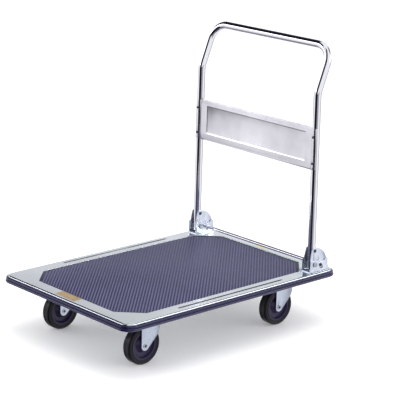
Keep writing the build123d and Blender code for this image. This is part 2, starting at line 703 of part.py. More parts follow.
def upright_x(z):
    """How far the upright's axis stands from the middle at a height."""
    share = (z - TAPER_START_Z) / (SHOULDER_Z - TAPER_START_Z)
    return HINGE_X + (SHOULDER_X - HINGE_X) * share


def pivot_bushes():
    """The two steel bushes through the handle's feet."""
    bushes = []
    for sign in SIDES.values():
        x = sign * HINGE_X
        bush = rod_x(HANDLE_Y, PIVOT_Z, PIVOT_R + BUSH_WALL, x - CAM_INNER, x + CAM_INNER)
        bushes.append(bush - rod_x(HANDLE_Y, PIVOT_Z, PIVOT_R + RUNNING_GAP, x - CAM_INNER, x + CAM_INNER))
    return Compound(children=bushes)


def cam_plate(x, side):
    """A sector plate riveted to the handle's foot, with a hollow where it rests on the release bar."""
    inner, outer = x + side * CAM_INNER, x + side * CAM_OUTER
    top_angle = 98.0 * pi / 180
    top = (HANDLE_Y + CAM_R * cos(top_angle), PIVOT_Z + CAM_R * sin(top_angle))
    middle = (HANDLE_Y + CAM_R * cos(top_angle / 2), PIVOT_Z + CAM_R * sin(top_angle / 2))
    rim = ThreePointArc(top, middle, (HANDLE_Y + CAM_R, PIVOT_Z))
    edges = Polyline(
        (HANDLE_Y + CAM_R, PIVOT_Z), (HANDLE_Y, PIVOT_Z), (HANDLE_Y - CAM_HUB_R, PIVOT_Z),
        (HANDLE_Y - CAM_HUB_R, PIVOT_Z + 17), (HANDLE_Y - 13, PIVOT_Z + 49), top,
    )
    plate = extrude(Plane.YZ.offset(min(inner, outer)) * make_face([rim, edges]), CAM_SHEET)
    upper = [e for e in plate.edges().filter_by(Axis.X) if e.center().Z > PIVOT_Z + 40]
    plate = fillet(upper, 3.0)
    plate += rod_x(HANDLE_Y, PIVOT_Z, CAM_HUB_R, inner, outer)
    plate -= rod_x(BAR_Y, BAR_Z, BAR_R + CAM_BAR_GAP, inner, outer)
    plate -= rod_x(HANDLE_Y, PIVOT_Z, PIVOT_R + RUNNING_GAP, inner, outer)
    return plate - rod_x(HANDLE_Y, PIVOT_Z + CAM_RIVET_RISE, CAM_RIVET_R, inner, outer)


def cam_rivets():
    """The two rivets that hold the sector plates to the handle's feet."""
    rivets = []
    z = PIVOT_Z + CAM_RIVET_RISE
    for sign in SIDES.values():
        x = sign * HINGE_X
        end = CAM_OUTER + RIVET_HEAD
        rivet = rod_x(HANDLE_Y, z, CAM_RIVET_R, x - end, x + end)
        for side in SIDES.values():
            rivet += rod_x(HANDLE_Y, z, CAM_RIVET_R + 1.6, x + side * CAM_OUTER, x + side * end)
        rivets.append(rivet)
    return Compound(children=rivets)


def upright_rod(sign, radius, z0, z1):
    """A cylinder along one upright's slightly leaning axis."""
    low, high = Vector(sign * upright_x(z0), HANDLE_Y, z0), Vector(sign * upright_x(z1), HANDLE_Y, z1)
    start = (Align.CENTER, Align.CENTER, Align.MIN)
    return Plane(origin=low, z_dir=high - low) * Cylinder(radius, (high - low).length, align=start)


def panel_outline(field_set_back):
    """The panel's section as Y and Z points, its middle set back behind the ridges."""
    top = PANEL_TOP - PANEL_BORDER_TOP
    bottom = PANEL_BOTTOM + PANEL_BORDER_BOTTOM
    edge, field = PANEL_Y + PANEL_EDGE_SET_BACK, PANEL_Y + field_set_back
    front = [
        (edge, PANEL_BOTTOM), (PANEL_Y, bottom), (field, bottom + PANEL_STEP),
        (field, top - PANEL_STEP), (PANEL_Y, top), (edge, PANEL_TOP),
    ]
    return front + [(y + PANEL_SHEET, z) for y, z in reversed(front)]


def handle_panel():
    """The pressed panel: sloped borders, a sunk field, and a saddle round the front of each upright."""
    field_half = upright_x(PANEL_BOTTOM) - PANEL_BORDER_SIDE
    reach = upright_x(PANEL_BOTTOM) - SADDLE_BACK
    low, high = PANEL_BOTTOM + PANEL_BORDER_BOTTOM, PANEL_TOP - PANEL_BORDER_TOP
    panel = slab_x(panel_outline(PANEL_FIELD_SET_BACK), -field_half, field_half)
    for sign in SIDES.values():
        panel += slab_x(panel_outline(0.001), sign * field_half, sign * reach)
        wall = sorted((sign * field_half, sign * (field_half + PANEL_SHEET)))
        panel += block(*wall, PANEL_Y, PANEL_Y + PANEL_FIELD_SET_BACK + PANEL_SHEET, low, high)
        saddle = upright_rod(
            sign, SADDLE_OUTER_R, PANEL_BOTTOM + SADDLE_INSET, PANEL_TOP - SADDLE_INSET
        )
        span = sorted((sign * (reach - SADDLE_OUTER_R), sign * (upright_x(PANEL_BOTTOM) + SADDLE_REACH)))
        front = block(
            *span, HANDLE_Y - SADDLE_OUTER_R - 1, HANDLE_Y - SADDLE_BACK, PANEL_BOTTOM, PANEL_TOP
        )
        panel += saddle & front
        panel -= upright_rod(sign, SADDLE_INNER_R, PANEL_BOTTOM - 1, PANEL_TOP + 1)
        for z in PANEL_RIVET_Z:
            panel -= rod_y(sign * upright_x(z), z, RIVET_R, HANDLE_Y - 2 * TUBE_R, HANDLE_Y)
    return panel


def panel_rivets():
    """The four blind rivets that hold the panel's saddles to the uprights."""
    face = HANDLE_Y - SADDLE_OUTER_R - 0.1
    inside = HANDLE_Y - TUBE_R + TUBE_WALL + 0.8
    rivets = []
    for sign in SIDES.values():
        for z in PANEL_RIVET_Z:
            x = sign * upright_x(z)
            head = rod_y(x, z, RIVET_HEAD_R, face - RIVET_HEAD, face)
            head = fillet(head.faces().sort_by(Axis.Y)[0].edges(), RIVET_HEAD - 0.3)
            tail = rod_y(x, z, RIVET_R + 0.8, inside, inside + 2)
            rivets.append(head + rod_y(x, z, RIVET_R, face, inside) + tail)
    return Compound(children=rivets)


def wheel_nodes(place, x, y):
    """The pieces of one wheel and its axle, by node name."""
    return {
        f"tyre_{place}": tyre(x, y),
        f"wheel_core_{place}": wheel_core(x, y),
        f"wheel_bush_{place}": wheel_bush(x, y),
        f"axle_{place}": axle(x, y),
    }


def assembly():
    """Every piece of the cart, by node name."""
    nodes = {
        "deck_pan": deck_pan(),
        "deck_mat": mat(),
        "bumper": bumper(),
        "label_front": label(LABEL_FRONT, -1, LABEL_FROM_WELL[0]),
        "label_rear": label(LABEL_REAR, 1, LABEL_FROM_WELL[1]),
        "caster_channel_front": channel(FRONT_AXLE_Y + CASTER_TRAIL),
        "caster_channel_rear": channel(REAR_AXLE_Y + CASTER_TRAIL),
        "bracket_bolts": bracket_bolts(),
        "bracket_nuts": bracket_nuts(),
        "pivot_bolts": pivot_bolts(),
        "pivot_nuts": pivot_nuts(),
        "release_bar": release_bar(),
        "release_bar_caps": release_bar_caps(),
        "handle_tube": handle_tube(),
        "handle_panel": handle_panel(),
        "panel_rivets": panel_rivets(),
        "pivot_bushes": pivot_bushes(),
        "cam_rivets": cam_rivets(),
        "caster_bolts": caster_bolts(),
        "caster_nuts": caster_nuts(),
    }
    for side, sign in SIDES.items():
        x = sign * CASTER_X
        nodes[f"stiffener_{side}"] = stiffener(sign)
        nodes[f"hinge_bracket_{side}"] = hinge_bracket(sign)
        nodes[f"release_spring_{side}"] = release_spring(sign)
        nodes[f"cam_plate_{side}_inner"] = cam_plate(sign * HINGE_X, -sign)
        nodes[f"cam_plate_{side}_outer"] = cam_plate(sign * HINGE_X, sign)
        nodes[f"rigid_fork_{side}"] = rigid_fork(x, FRONT_AXLE_Y)
        nodes[f"swivel_plate_{side}"] = swivel_plate(x, REAR_AXLE_Y)
        nodes[f"swivel_fork_{side}"] = swivel_fork(x, REAR_AXLE_Y)
        nodes[f"swivel_balls_{side}"] = swivel_balls(x, REAR_AXLE_Y)
        nodes[f"king_pin_{side}"] = king_pin(x, REAR_AXLE_Y)
        nodes.update(wheel_nodes(f"front_{side}", x, FRONT_AXLE_Y))
        nodes.update(wheel_nodes(f"rear_{side}", x, REAR_AXLE_Y))
    return nodes


os.makedirs("parts", exist_ok=True)
for node, shape in assembly().items():
    export_step(shape, f"parts/{node}.step")
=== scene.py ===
"""Looks of the folding platform cart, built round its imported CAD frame."""

import json
import math

import bmesh
import bpy
from mathutils import Matrix, Vector


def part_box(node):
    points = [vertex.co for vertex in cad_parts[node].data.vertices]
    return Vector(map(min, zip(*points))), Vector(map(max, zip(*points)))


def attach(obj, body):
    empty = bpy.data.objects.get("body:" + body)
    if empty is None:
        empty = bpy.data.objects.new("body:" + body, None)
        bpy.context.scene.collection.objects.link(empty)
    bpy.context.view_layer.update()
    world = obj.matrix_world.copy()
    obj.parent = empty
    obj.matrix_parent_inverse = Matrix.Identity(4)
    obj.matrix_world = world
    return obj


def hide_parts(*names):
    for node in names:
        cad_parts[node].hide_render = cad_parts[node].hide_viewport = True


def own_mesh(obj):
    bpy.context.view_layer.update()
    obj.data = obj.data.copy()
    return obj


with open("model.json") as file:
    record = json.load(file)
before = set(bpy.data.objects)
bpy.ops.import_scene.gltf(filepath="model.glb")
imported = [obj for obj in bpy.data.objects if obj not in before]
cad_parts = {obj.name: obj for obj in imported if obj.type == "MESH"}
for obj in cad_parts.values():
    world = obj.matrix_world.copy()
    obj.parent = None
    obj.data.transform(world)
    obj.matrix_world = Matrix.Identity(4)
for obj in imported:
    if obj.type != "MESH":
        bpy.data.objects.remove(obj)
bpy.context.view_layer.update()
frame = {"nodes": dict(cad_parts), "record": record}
NODES = frame["nodes"]
BODY_OF = {n: b for b, names in frame["record"]["behaviour"]["bodies"].items() for n in names}
SLOT_OF = {s["node"]: s["material_slot"] for s in frame["record"]["subparts"]}
MM = 0.001
SIDES = {"left": -1, "right": 1}


# ------------------------------------------------------------------ camera and studio

def make_camera():
    """The photograph's viewpoint: 47 degrees round from the front, 16 degrees up, a long lens."""
    azimuth, elevation, roll = 0.825939, 0.273622, 0.026036
    across, rise, distance = 0.10341, 0.40692, 5.43637
    back = Vector((
        math.sin(azimuth) * math.cos(elevation), -math.cos(azimuth) * math.cos(elevation),
        math.sin(elevation),
    ))
    level = Vector((0, 0, 1)).cross(back).normalized()
    over = back.cross(level)
    right = math.cos(roll) * level + math.sin(roll) * over
    up = math.cos(roll) * over - math.sin(roll) * level
    data = bpy.data.cameras.new("camera")
    data.sensor_width = 36.0
    data.lens = 146.15
    data.clip_end = 100
    camera = bpy.data.objects.new("camera", data)
    turn = Matrix((right, up, back)).transposed().to_4x4()
    camera.matrix_world = Matrix.Translation(right * across + up * rise + back * distance) @ turn
    bpy.context.scene.collection.objects.link(camera)
    bpy.context.scene.camera = camera


class Tree:
    """A small helper that adds and links shader nodes."""

    def __init__(self, tree):
        self.tree = tree

    def node(self, kind, **inputs):
        made = self.tree.nodes.new(kind)
        for key, value in inputs.items():
            key = key.replace("_", " ")
            if isinstance(value, bpy.types.NodeSocket):
                self.tree.links.new(value, made.inputs[key])
            else:
                made.inputs[key].default_value = value
        return made

    def link(self, source, target):
        self.tree.links.new(source, target)

    def math(self, operation, a, b=None, clamp=False):
        made = self.tree.nodes.new("ShaderNodeMath")
        made.operation = operation
        made.use_clamp = clamp
        for i, value in enumerate((a, b)):
            if value is None:
                continue
            if isinstance(value, bpy.types.NodeSocket):
                self.tree.links.new(value, made.inputs[i])
            else:
                made.inputs[i].default_value = value
        return made.outputs[0]

    def ramp(self, value, stops, interpolation="LINEAR"):
        made = self.tree.nodes.new("ShaderNodeValToRGB")
        made.color_ramp.interpolation = interpolation
        elements = made.color_ramp.elements
        while len(elements) < len(stops):
            elements.new(0.5)
        for element, (place, colour) in zip(elements, stops):
            element.position = place
            if not hasattr(colour, "__len__"):
                colour = (colour, colour, colour)
            element.color = (*colour[:3], 1)
        self.tree.links.new(value, made.inputs[0])
        return made.outputs[0]

    def smooth(self, value, low, high):
        """0 below low, 1 above high, eased between."""
        made = self.tree.nodes.new("ShaderNodeMapRange")
        made.interpolation_type = "SMOOTHSTEP"
        self.tree.links.new(value, made.inputs["Value"])
        made.inputs["From Min"].default_value = low
        made.inputs["From Max"].default_value = high
        return made.outputs["Result"]

    def mix(self, share, a, b):
        made = self.tree.nodes.new("ShaderNodeMix")
        made.data_type = "RGBA"
        for index, value in ((0, share), (6, a), (7, b)):
            if isinstance(value, bpy.types.NodeSocket):
                self.tree.links.new(value, made.inputs[index])
            else:
                made.inputs[index].default_value = value if index == 0 else (*value[:3], 1)
        return made.outputs[2]


def make_world():
    """White studio walls with dark gaps and two bright strips for the polished metal to show. The camera sees
    plain white, and matt surfaces are lit evenly."""
    world = bpy.data.worlds.new("studio")
    bpy.context.scene.world = world
    world.use_nodes = True
    world.node_tree.nodes.clear()
    t = Tree(world.node_tree)
    direction = t.node("ShaderNodeTexCoord").outputs["Generated"]
    split = t.node("ShaderNodeSeparateXYZ", Vector=direction)
    height = split.outputs["Z"]
    level = t.tree.nodes.new("ShaderNodeVectorMath")
    level.operation = "MULTIPLY"
    t.link(direction, level.inputs[0])
    level.inputs[1].default_value = (1, 1, 0)
    unit = t.tree.nodes.new("ShaderNodeVectorMath")
    unit.operation = "NORMALIZE"
    t.link(level.outputs[0], unit.inputs[0])

    def gap(angle, half_width, soft):
        """1 inside an upright dark gap at a compass angle from +X, in degrees."""
        dot = t.tree.nodes.new("ShaderNodeVectorMath")
        dot.operation = "DOT_PRODUCT"
        t.link(unit.outputs[0], dot.inputs[0])
        dot.inputs[1].default_value = (math.cos(math.radians(angle)), math.sin(math.radians(angle)), 0)
        edge = math.cos(math.radians(half_width + soft)), math.cos(math.radians(half_width - soft))
        return t.smooth(dot.outputs["Value"], *edge)

    def above(low, high):
        """0 below low, 1 above high, by how steeply a direction rises."""
        return t.smooth(height, low, high)

    def below(low, high):
        return t.math("SUBTRACT", 1.0, above(low, high))

    def both(a, b):
        return t.math("MULTIPLY", a, b)

    def either(a, b, clamp=False):
        return t.math("MAXIMUM", a, b, clamp=clamp)

    below_top = below(0.80, 0.88)
    deep, shaded = gap(-78.0, 36, 4), both(gap(-24.0, 20, 7), 0.62)
    under = below(0.02, 0.10)
    slim = both(gap(-84.0, 26, 4), below(0.95, 0.985))
    front = either(either(both(deep, under), slim), both(shaded, under))
    low = both(below(-0.16, -0.08), above(-0.54, -0.44))
    behind = both(either(gap(138.0, 40, 5), gap(68.0, 5.0, 2)), low)
    over_bar = both(above(0.34, 0.39), gap(185.0, 45, 5))
    over_rail = both(above(0.50, 0.56), gap(69.0, 22, 5))
    band = both(either(over_bar, over_rail), below_top)
    dark = either(either(front, behind), band, clamp=True)
    floor_shade = both(below(-0.68, -0.32), gap(205.0, 45, 9))
    walls = t.mix(floor_shade, (0.93, 0.93, 0.98), (0.16, 0.16, 0.20))
    strip = both(above(0.16, 0.20), below(0.32, 0.36))
    seen = t.mix(dark, walls, (0.012, 0.012, 0.018))
    seen = t.mix(both(strip, gap(43.0, 22, 4)), seen, (6.0, 6.0, 6.6))
    seen = t.mix(both(strip, gap(223.0, 20, 4)), seen, (3.5, 3.5, 3.9))
    camera_ray = t.node("ShaderNodeLightPath").outputs["Is Camera Ray"]
    diffuse_ray = t.node("ShaderNodeLightPath").outputs["Is Diffuse Ray"]
    seen = t.mix(diffuse_ray, seen, (1.06, 1.06, 1.07))
    seen = t.mix(camera_ray, seen, (1.0, 1.0, 1.0))
    background = t.node("ShaderNodeBackground", Color=seen, Strength=1.0)
    output = t.node("ShaderNodeOutputWorld")
    t.link(background.outputs[0], output.inputs[0])


def make_lights():
    """One large soft box overhead and a weaker one from the left."""
    for name, place, aim, size, power in (
        ("overhead", (0.2, 0.1, 3.4), (0, 0, 0.3), (2.9, 2.9), 44),
        ("left_fill", (-3.4, -2.0, 1.1), (0, 0, 0.3), (1.4, 1.0), 16),
    ):
        data = bpy.data.lights.new(name, "AREA")
        data.shape = "RECTANGLE"
        data.size, data.size_y = size
        data.energy = power
        lamp = bpy.data.objects.new(name, data)
        lamp.location = place
        lamp.visible_glossy = False
        lamp.rotation_mode = "QUATERNION"
        lamp.rotation_quaternion = (Vector(aim) - Vector(place)).to_track_quat("-Z", "Y")
        bpy.context.scene.collection.objects.link(lamp)


def make_floor():
    """A plain pale floor, faintly lit from beneath like a product table."""
    bm = bmesh.new()
    bmesh.ops.create_grid(bm, x_segments=2, y_segments=2, size=30)
    floor = mesh_object("floor", bm, smooth=False)
    material, t, shader = new_material("floor_paper")
    shader.inputs["Base Color"].default_value = (0.92, 0.92, 0.92, 1)
    shader.inputs["Emission Color"].default_value = (1.0, 1.0, 1.0, 1)
    shader.inputs["Emission Strength"].default_value = 0.16
    shader.inputs["Roughness"].default_value = 0.9
    shader.inputs["Specular IOR Level"].default_value = 0.1
    floor.data.materials.append(material)
    floor.visible_glossy = False


# ------------------------------------------------------------------ materials

def new_material(name):
    material = bpy.data.materials.new(name)
    material.use_nodes = True
    t = Tree(material.node_tree)
    shader = material.node_tree.nodes["Principled BSDF"]
    return material, t, shader


def object_place(t, scale=(1, 1, 1)):
    """Object coordinates in metres, scaled."""
    place = t.node("ShaderNodeTexCoord").outputs["Object"]
    made = t.tree.nodes.new("ShaderNodeMapping")
    t.link(place, made.inputs["Vector"])
    made.inputs["Scale"].default_value = scale
    return made.outputs[0]


def noise(t, place, scale, detail=3.0, rough=0.55):
    made = t.node("ShaderNodeTexNoise", Vector=place, Scale=scale, Detail=detail, Roughness=rough)
    return made.outputs["Fac"]


def bump(t, shader, height, strength, distance):
    made = t.node("ShaderNodeBump", Height=height, Strength=strength, Distance=distance)
    t.link(made.outputs[0], shader.inputs["Normal"])


def metal(name, light, dark, rough, spread, cloud=18.0, scratch=(60, 60, 900), scratch_depth=0.04,
          blotch=None, wave=0.0):
    """A plated or polished metal: cloudy tone, fine directional scratches, uneven gloss."""
    material, t, shader = new_material(name)
    place = object_place(t)
    clouds = noise(t, place, cloud, 4.0)
    lines = noise(t, object_place(t, scratch), 1.0, 2.0, 0.7)
    colour = t.ramp(clouds, [(0.32, dark), (0.68, light)])
    if blotch:
        stain = t.smooth(noise(t, place, cloud * 0.35, 2.0), 0.52, 0.70)
        colour = t.mix(t.math("MULTIPLY", stain, 0.55), colour, blotch)
    t.link(colour, shader.inputs["Base Color"])
    both = t.math("ADD", t.math("MULTIPLY", clouds, 0.6), t.math("MULTIPLY", lines, 0.4))
    t.link(t.math("ADD", t.math("MULTIPLY", both, spread), rough - spread / 2), shader.inputs["Roughness"])
    shader.inputs["Metallic"].default_value = 1.0
    fine = t.node("ShaderNodeBump", Height=lines, Strength=scratch_depth, Distance=0.0004)
    if wave:
        slow = t.node("ShaderNodeBump", Height=noise(t, place, 11.0, 1.0), Strength=wave, Distance=0.02)
        t.link(slow.outputs[0], fine.inputs["Normal"])
    t.link(fine.outputs[0], shader.inputs["Normal"])
    return material


def vinyl(name, light, dark, rough, spread, grain, depth, coat=0.0, cloud=9.0, specular=0.5, tint=None):
    """Rubber, vinyl or moulded plastic: soft tone changes and a fine pebbled grain."""
    material, t, shader = new_material(name)
    place = object_place(t)
    clouds = noise(t, place, cloud, 4.0)
    pebbles = noise(t, place, grain, 2.0, 0.6)
    t.link(t.ramp(clouds, [(0.30, dark), (0.70, light)]), shader.inputs["Base Color"])
    t.link(t.math("ADD", t.math("MULTIPLY", clouds, spread), rough - spread / 2), shader.inputs["Roughness"])
    shader.inputs["Coat Weight"].default_value = coat
    shader.inputs["Coat Roughness"].default_value = 0.12
    shader.inputs["Specular IOR Level"].default_value = specular
    if tint:
        shader.inputs["Specular Tint"].default_value = (*tint, 1)
    bump(t, shader, pebbles, depth, 0.0005)
    return material


def studded(name, crown, groove_shade, rough):
    """Mat vinyl: paler on the studs' tops, and darker in the grooves between them as painted shade."""
    material, t, shader = new_material(name)
    place = object_place(t)
    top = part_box("deck_mat")[1].z
    height = t.node("ShaderNodeSeparateXYZ", Vector=place).outputs["Z"]
    unshaded_tops = t.smooth(height, top - 0.72 * MM, top - 0.2 * MM)
    clouds = noise(t, place, 3.5, 4.0)
    tone = t.math("ADD", t.math("MULTIPLY", clouds, 0.5), 0.75)
    # Painted shade: the grooves between the studs take a much darker colour than the stud tops.
    colour = t.mix(unshaded_tops, groove_shade, crown)
    scaled = t.tree.nodes.new("ShaderNodeVectorMath")
    scaled.operation = "SCALE"
    t.link(colour, scaled.inputs[0])
    t.link(tone, scaled.inputs["Scale"])
    t.link(scaled.outputs[0], shader.inputs["Base Color"])
    t.link(t.math("ADD", t.math("MULTIPLY", clouds, 0.12), rough - 0.06), shader.inputs["Roughness"])
    shader.inputs["Specular IOR Level"].default_value = 0.3
    bump(t, shader, noise(t, place, 1500, 2.0, 0.6), 0.2, 0.0005)
    return material


def film(name, light, dark):
    """A plain sticker film, cloudy and slightly worn."""
    material, t, shader = new_material(name)
    place = object_place(t)
    worn = t.smooth(noise(t, place, 160, 5.0), 0.56, 0.72)
    colour = t.ramp(noise(t, place, 40, 3.0), [(0.35, dark), (0.65, light)])
    t.link(t.mix(t.math("MULTIPLY", worn, 0.25), colour, (0.9, 0.88, 0.8)), shader.inputs["Base Color"])
    t.link(t.math("ADD", t.math("MULTIPLY", worn, 0.2), 0.35), shader.inputs["Roughness"])
    bump(t, shader, noise(t, place, 900, 2.0), 0.08, 0.0002)
    return material


MATERIALS = {
    "deck_steel": metal("deck_steel", (0.80, 0.84, 0.86), (0.62, 0.67, 0.68), 0.20, 0.12, 5.0,
                        (40, 40, 40), 0.03, blotch=(0.60, 0.67, 0.64)),
    "panel_steel": metal("panel_steel", (0.90, 0.89, 0.91), (0.68, 0.67, 0.70), 0.24, 0.12, 5.0,
                         (40, 900, 900), 0.05, wave=0.10),
    "frame_steel": metal("frame_steel", (0.62, 0.64, 0.66), (0.50, 0.52, 0.54), 0.42, 0.14, 14.0,
                         (90, 90, 90), 0.06),
    "bracket_steel": metal("bracket_steel", (0.80, 0.84, 0.92), (0.60, 0.66, 0.75), 0.24, 0.14, 22.0,
                           (90, 90, 300), 0.05, blotch=(0.58, 0.70, 0.74)),
    "caster_steel": metal("caster_steel", (0.62, 0.67, 0.76), (0.50, 0.55, 0.64), 0.28, 0.14, 20.0,
                          (80, 80, 300), 0.05, blotch=(0.46, 0.54, 0.60)),
    "spring_steel": metal("spring_steel", (0.36, 0.37, 0.40), (0.26, 0.27, 0.30), 0.36, 0.12, 40.0),
    "fastener_steel": metal("fastener_steel", (0.56, 0.58, 0.62), (0.40, 0.42, 0.47), 0.32, 0.14, 60.0),
    "chromed_tube": metal("chromed_tube", (0.92, 0.92, 0.94), (0.87, 0.87, 0.90), 0.05, 0.04, 14.0,
                          (35, 35, 35), 0.004),
    "dark_steel": metal("dark_steel", (0.12, 0.12, 0.16), (0.06, 0.06, 0.09), 0.36, 0.12, 60.0),
    # The second colour is the painted shade in the mat's grooves.
    "mat_vinyl": studded("mat_vinyl", (0.158, 0.158, 0.290), (0.026, 0.026, 0.062), 0.50),
    "bumper_vinyl": vinyl("bumper_vinyl", (0.010, 0.009, 0.040), (0.006, 0.005, 0.024), 0.14, 0.05,
                          1100, 0.04, 0.5, specular=0.42, tint=(0.50, 0.48, 1.0)),
    "tyre_rubber": vinyl("tyre_rubber", (0.008, 0.007, 0.011), (0.004, 0.004, 0.006), 0.36, 0.12,
                         1800, 0.2, specular=0.22),
    "core_plastic": vinyl("core_plastic", (0.030, 0.022, 0.066), (0.017, 0.012, 0.040), 0.32, 0.12,
                          1400, 0.15, specular=0.35),
    "cap_plastic": vinyl("cap_plastic", (0.010, 0.010, 0.012), (0.006, 0.006, 0.008), 0.40, 0.10, 1600, 0.15),
    "label_amber": film("label_amber", (0.33, 0.22, 0.09), (0.23, 0.14, 0.05)),
    "label_yellow": film("label_yellow", (0.74, 0.56, 0.18), (0.64, 0.46, 0.13)),
}


# ------------------------------------------------------------------ mesh helpers

def mesh_object(name, bm, smooth=True):
    data = bpy.data.meshes.new(name)
    bmesh.ops.recalc_face_normals(bm, faces=bm.faces)
    bm.to_mesh(data)
    bm.free()
    made = bpy.data.objects.new(name, data)
    bpy.context.scene.collection.objects.link(made)
    if smooth:
        for face in data.polygons:
            face.use_smooth = True
    return made


def finish_piece(made, node):
    """Gives a piece its node's material and body, and lets it stand for the node."""
    slot = SLOT_OF[node]
    made.data.materials.clear()
    made.data.materials.append(MATERIALS[slot])
    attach(made, BODY_OF[node])
    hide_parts(node)


def join_rings(bm, a, b):
    """Fills between two rings of the same number of points."""
    for i in range(len(a)):
        j = (i + 1) % len(a)
        bm.faces.new((a[i], a[j], b[j], b[i]))


def circle(radius, sides):
    """Points round a circle, as pairs."""
    turns = [2 * math.pi * k / sides for k in range(sides)]
    return [(radius * math.cos(turn), radius * math.sin(turn)) for turn in turns]


def apply_modifiers(made):
    graph = bpy.context.evaluated_depsgraph_get()
    data = bpy.data.meshes.new_from_object(made.evaluated_get(graph))
    made.modifiers.clear()
    made.data = data


def sharpen(data, angle=32.0):
    """Marks edges between faces that meet at more than an angle."""
    bm = bmesh.new()
    bm.from_mesh(data)
    limit = math.radians(angle)
    for edge in bm.edges:
        if len(edge.link_faces) == 2:
            edge.smooth = edge.calc_face_angle(0) < limit
    bm.to_mesh(data)
    bm.free()


def refined(node, bevel=0.5):
    """A welded copy of a CAD node's mesh with its edges broken and its flats kept flat."""
    bm = bmesh.new()
    bm.from_mesh(NODES[node].data)
    bmesh.ops.remove_doubles(bm, verts=bm.verts, dist=2e-6)
    bmesh.ops.dissolve_limit(
        bm, angle_limit=math.radians(0.4), verts=bm.verts, edges=bm.edges, delimit={"NORMAL"}
    )
    made = mesh_object(f"{node}_look", bm)
    modifier = made.modifiers.new("edge_break", "BEVEL")
    modifier.width = bevel * MM
    modifier.segments = 2
    modifier.limit_method = "ANGLE"
    modifier.angle_limit = math.radians(40)
    modifier.use_clamp_overlap = True
    modifier.harden_normals = False
    modifier.miter_outer = "MITER_ARC"
    apply_modifiers(made)
    if made.data.attributes.get("custom_normal"):
        made.data.attributes.remove(made.data.attributes["custom_normal"])
    for face in made.data.polygons:
        face.use_smooth = True
    sharpen(made.data)
    finish_piece(made, node)


def ring_skin(name, rings, closed_loop, close_ends=False):
    """Joins rings of the same number of points into a skin."""
    bm = bmesh.new()
    made = [[bm.verts.new(p) for p in ring] for ring in rings]
    following = made[1:] + made[:1] if closed_loop else made[1:]
    for a, b in zip(made, following):
        join_rings(bm, a, b)
    if close_ends:
        bm.faces.new(made[0])
        bm.faces.new(made[-1])
    return mesh_object(name, bm)


def lathe(name, profile, centre, segments=96, crease=30.0):
    """Turns a closed profile of (along the axle, radius) points about an X axis through centre."""
    rings = []
    for i in range(segments):
        turn = 2 * math.pi * i / segments
        rings.append([
            (centre[0] + x * MM, centre[1] + r * MM * math.cos(turn), centre[2] + r * MM * math.sin(turn))
            for x, r in profile
        ])
    made = ring_skin(name, rings, closed_loop=True)
    sharpen(made.data, crease)
    return made


def drill_across(made, centre, radius, reach, sides=48):
    """Cuts a round hole along X through a closed piece."""
    bm = bmesh.new()
    rings = [
        [bm.verts.new((centre[0] + x, centre[1] + y, centre[2] + z)) for y, z in circle(radius, sides)]
        for x in (-reach, reach)
    ]
    join_rings(bm, *rings)
    bm.faces.new(rings[0])
    bm.faces.new(rings[1])
    cutter = mesh_object("cutter", bm, smooth=False)
    modifier = made.modifiers.new("hole", "BOOLEAN")
    modifier.object, modifier.operation, modifier.solver = cutter, "DIFFERENCE", "EXACT"
    apply_modifiers(made)
    bpy.data.objects.remove(cutter)


def rounded(points, radius, steps=4, closed=True):
    """Rounds the corners of a 2-D outline; radius is one number or one per point."""
    out = []
    count = len(points)
    for i, p in enumerate(points):
        r = radius[i] if hasattr(radius, "__len__") else radius
        if (not closed and i in (0, count - 1)) or not r:
            out.append(tuple(p))
            continue
        p = Vector(p)
        a = (Vector(points[i - 1]) - p)
        b = (Vector(points[(i + 1) % count]) - p)
        half = a.angle(b) / 2
        cut = min(r / math.tan(half), a.length * 0.49, b.length * 0.49)
        start, end = p + a.normalized() * cut, p + b.normalized() * cut
        for k in range(steps + 1):
            s = k / steps
            out.append(tuple((1 - s) ** 2 * start + 2 * s * (1 - s) * p + s**2 * end))
    return out


# ------------------------------------------------------------------ handle

def bend(before, corner, after, radius, steps):
    """Points and headings of a round bend between two straight runs."""
    a, b = (before - corner).normalized(), (after - corner).normalized()
    half = a.angle(b) / 2
    reach = radius / math.tan(half)
    centre = corner + (a + b).normalized() * (radius / math.sin(half))
    start = corner + a * reach - centre
    turn = math.pi - 2 * half
    axis = (-a).cross(b).normalized()
    return [
        (centre + Matrix.Rotation(turn * k / steps, 3, axis) @ start,
         Matrix.Rotation(turn * k / steps, 3, axis) @ -a)
        for k in range(steps + 1)
    ]


def straight(a, b, spacing=0.04):
    """Stations along a straight run, without its ends."""
    count = max(1, round((b[0] - a[0]).length / spacing))
    return [(a[0].lerp(b[0], k / count), b[1]) for k in range(1, count)]


TUBE_R, TUBE_WALL = 12.7 * MM, 1.5 * MM
TAPER_FROM, TAPER_TO, TAPER = 292 * MM, 784.6 * MM, 4.1 * MM  # two heights, and how far each upright comes in
SIDE_BENDS = ((600, 6), (70, 16), (60, 40))  # radius in mm and steps: taper, shoulder, top corner
TUBE_SIDES = 72
BORE_SHOWN = 30 * MM  # how deep the bore is open inside a foot


